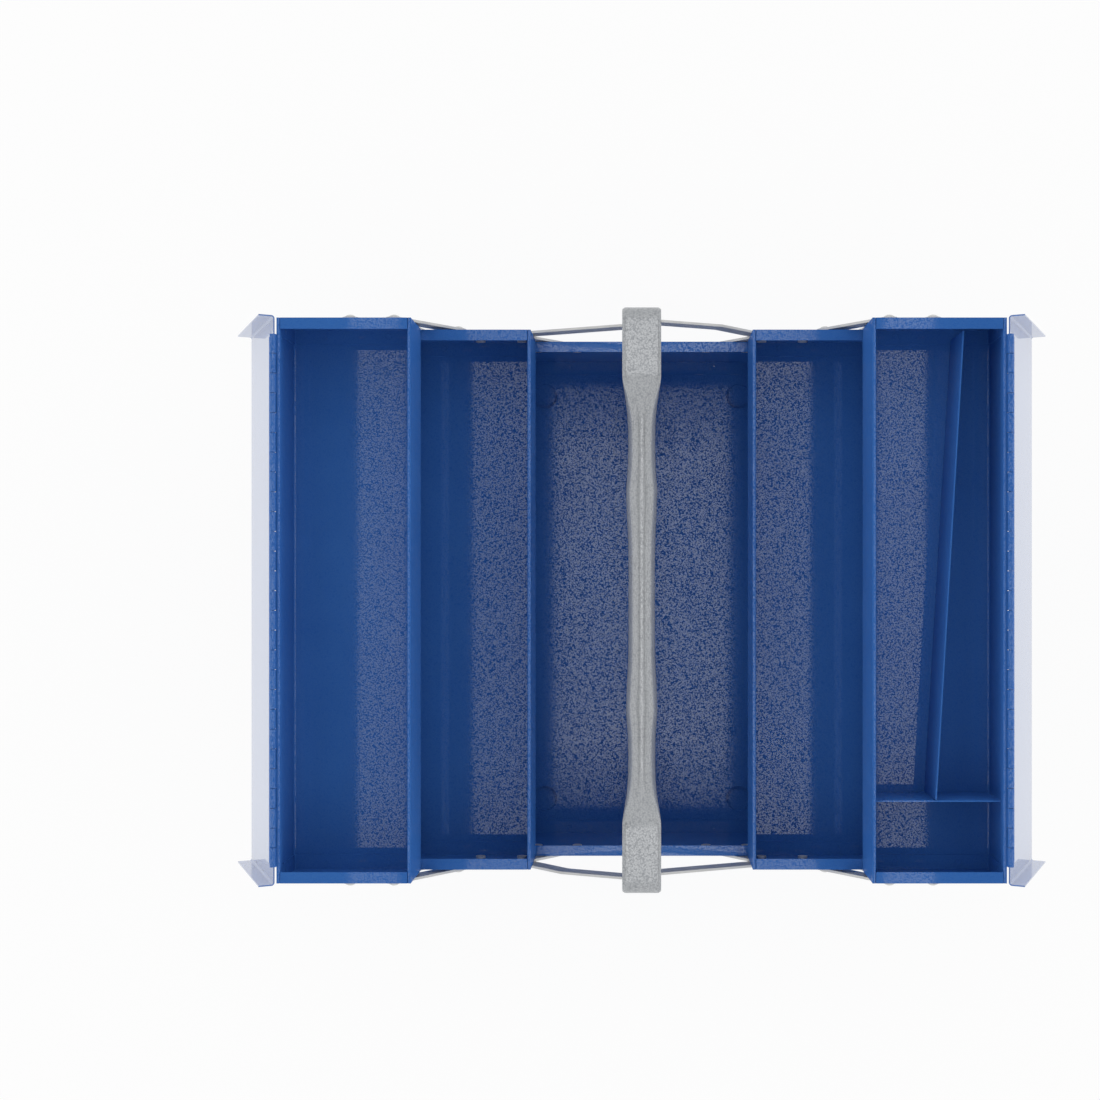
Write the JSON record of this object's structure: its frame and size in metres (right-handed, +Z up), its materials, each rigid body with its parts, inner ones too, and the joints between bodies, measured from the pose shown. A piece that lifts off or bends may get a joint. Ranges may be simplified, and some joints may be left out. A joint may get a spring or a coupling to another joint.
{
  "type": "cantilever tool box",
  "caption": "Sheet-steel cantilever tool box: a deep base, mid trays and lidded top trays that fold out on parallel links, under a long bar handle.",
  "frame": {"origin": "on the floor under the middle of the base, level with the underside of the stamped feet", "axes": "+X across the box towards the right trays, +Y along the box towards the far end, +Z up"},
  "size_m": [0.6658, 0.4576, 0.213],
  "materials": {
    "body_paint": "blue hammered enamel, glossy",
    "divider_paint": "blue hammered enamel on thin plate",
    "handle_paint": "silver-grey hammered enamel",
    "zinc": "bright zinc plate"
  },
  "bodies": {
    "base": {"base_channel": "body_paint", "base_far_end": "body_paint", "base_near_end": "body_paint", "base_rivets": "zinc"},
    "left_mid_tray": {"left_mid_channel": "body_paint", "left_mid_far_end": "body_paint", "left_mid_near_end": "body_paint", "left_mid_rivets": "zinc"},
    "left_top_tray": {"left_top_channel": "body_paint", "left_top_far_end": "body_paint", "left_top_near_end": "body_paint", "left_top_rivets": "zinc", "left_hinge_tray_leaf": "body_paint", "left_hinge_pin": "body_paint"},
    "left_inner_base_links": {"left_inner_base_links": "zinc"},
    "left_outer_base_links": {"left_outer_base_links": "zinc"},
    "left_inner_top_links": {"left_inner_top_links": "zinc"},
    "left_outer_top_links": {"left_outer_top_links": "zinc"},
    "left_handle_links": {"left_handle_links": "zinc"},
    "left_lid": {"left_lid": "body_paint", "left_hinge_lid_leaf": "body_paint"},
    "right_mid_tray": {"right_mid_channel": "body_paint", "right_mid_far_end": "body_paint", "right_mid_near_end": "body_paint", "right_mid_rivets": "zinc"},
    "right_top_tray": {"right_top_channel": "body_paint", "right_top_far_end": "body_paint", "right_top_near_end": "body_paint", "right_top_rivets": "zinc", "right_hinge_tray_leaf": "body_paint", "right_hinge_pin": "body_paint", "cross_divider": "divider_paint", "long_divider": "divider_paint"},
    "right_inner_base_links": {"right_inner_base_links": "zinc"},
    "right_outer_base_links": {"right_outer_base_links": "zinc"},
    "right_inner_top_links": {"right_inner_top_links": "zinc"},
    "right_outer_top_links": {"right_outer_top_links": "zinc"},
    "right_handle_links": {"right_handle_links": "zinc"},
    "right_lid": {"right_lid": "body_paint", "right_hinge_lid_leaf": "body_paint"},
    "handle": {"handle": "handle_paint", "handle_rivets": "zinc"}
  },
  "joints": [
    {"name": "fold", "type": "hinge", "parent": "base", "child": "left_inner_base_links", "pos_m": [-0.0555, 0, 0.07], "axis": [0, 1, 0], "range_deg": [0, 84]},
    {"name": "left_outer_base_swing", "type": "hinge", "parent": "base", "child": "left_outer_base_links", "pos_m": [-0.0895, 0, 0.07], "axis": [0, 1, 0], "range_deg": [0, 84]},
    {"name": "left_mid_level", "type": "hinge", "parent": "left_inner_base_links", "child": "left_mid_tray", "pos_m": [-0.09899, 0, 0.1183], "axis": [0, 1, 0], "range_deg": [-84, 0]},
    {"name": "left_handle_link_swing", "type": "hinge", "parent": "left_mid_tray", "child": "left_handle_links", "pos_m": [-0.09899, 0, 0.1183], "axis": [0, -1, 0], "range_deg": [0, 61.7]},
    {"name": "handle_level", "type": "hinge", "parent": "left_handle_links", "child": "handle", "pos_m": [0, 0, 0.158], "axis": [0, -1, 0], "range_deg": [-61.7, 0]},
    {"name": "left_top_swing", "type": "hinge", "parent": "left_mid_tray", "child": "left_inner_top_links", "pos_m": [-0.14889, 0, 0.137], "axis": [0, 1, 0], "range_deg": [0, 84]},
    {"name": "left_outer_top_swing", "type": "hinge", "parent": "left_mid_tray", "child": "left_outer_top_links", "pos_m": [-0.18289, 0, 0.137], "axis": [0, 1, 0], "range_deg": [0, 84]},
    {"name": "left_top_level", "type": "hinge", "parent": "left_inner_top_links", "child": "left_top_tray", "pos_m": [-0.19238, 0, 0.1853], "axis": [0, 1, 0], "range_deg": [-84, 0]},
    {"name": "left_lid_swing", "type": "hinge", "parent": "left_top_tray", "child": "left_lid", "pos_m": [-0.28007, 0, 0.2106], "axis": [0, 1, 0], "range_deg": [0, 245]},
    {"name": "right_inner_base_swing", "type": "hinge", "parent": "base", "child": "right_inner_base_links", "pos_m": [0.0555, 0, 0.07], "axis": [0, -1, 0], "range_deg": [0, 84]},
    {"name": "right_outer_base_swing", "type": "hinge", "parent": "base", "child": "right_outer_base_links", "pos_m": [0.0895, 0, 0.07], "axis": [0, -1, 0], "range_deg": [0, 84]},
    {"name": "right_mid_level", "type": "hinge", "parent": "right_inner_base_links", "child": "right_mid_tray", "pos_m": [0.09899, 0, 0.1183], "axis": [0, -1, 0], "range_deg": [-84, 0]},
    {"name": "right_handle_link_swing", "type": "hinge", "parent": "right_mid_tray", "child": "right_handle_links", "pos_m": [0.09899, 0, 0.1183], "axis": [0, 1, 0], "range_deg": [0, 61.7]},
    {"name": "right_top_swing", "type": "hinge", "parent": "right_mid_tray", "child": "right_inner_top_links", "pos_m": [0.14889, 0, 0.137], "axis": [0, -1, 0], "range_deg": [0, 84]},
    {"name": "right_outer_top_swing", "type": "hinge", "parent": "right_mid_tray", "child": "right_outer_top_links", "pos_m": [0.18289, 0, 0.137], "axis": [0, -1, 0], "range_deg": [0, 84]},
    {"name": "right_top_level", "type": "hinge", "parent": "right_inner_top_links", "child": "right_top_tray", "pos_m": [0.19238, 0, 0.1853], "axis": [0, -1, 0], "range_deg": [-84, 0]},
    {"name": "right_lid_swing", "type": "hinge", "parent": "right_top_tray", "child": "right_lid", "pos_m": [0.28007, 0, 0.2106], "axis": [0, -1, 0], "range_deg": [0, 245]}
  ],
  "couplings": [
    {"joint": "left_outer_base_swing", "follows": "fold", "ratio": 1},
    {"joint": "left_mid_level", "follows": "fold", "ratio": -1},
    {"joint": "left_handle_link_swing", "follows": "fold", "ratio": 0.73433},
    {"joint": "handle_level", "follows": "fold", "ratio": -0.73433},
    {"joint": "left_outer_top_swing", "follows": "left_top_swing", "ratio": 1},
    {"joint": "left_top_level", "follows": "left_top_swing", "ratio": -1},
    {"joint": "right_inner_base_swing", "follows": "fold", "ratio": 1},
    {"joint": "right_outer_base_swing", "follows": "fold", "ratio": 1},
    {"joint": "right_mid_level", "follows": "fold", "ratio": -1},
    {"joint": "right_handle_link_swing", "follows": "fold", "ratio": 0.73433},
    {"joint": "right_outer_top_swing", "follows": "right_top_swing", "ratio": 1},
    {"joint": "right_top_level", "follows": "right_top_swing", "ratio": -1}
  ]
}
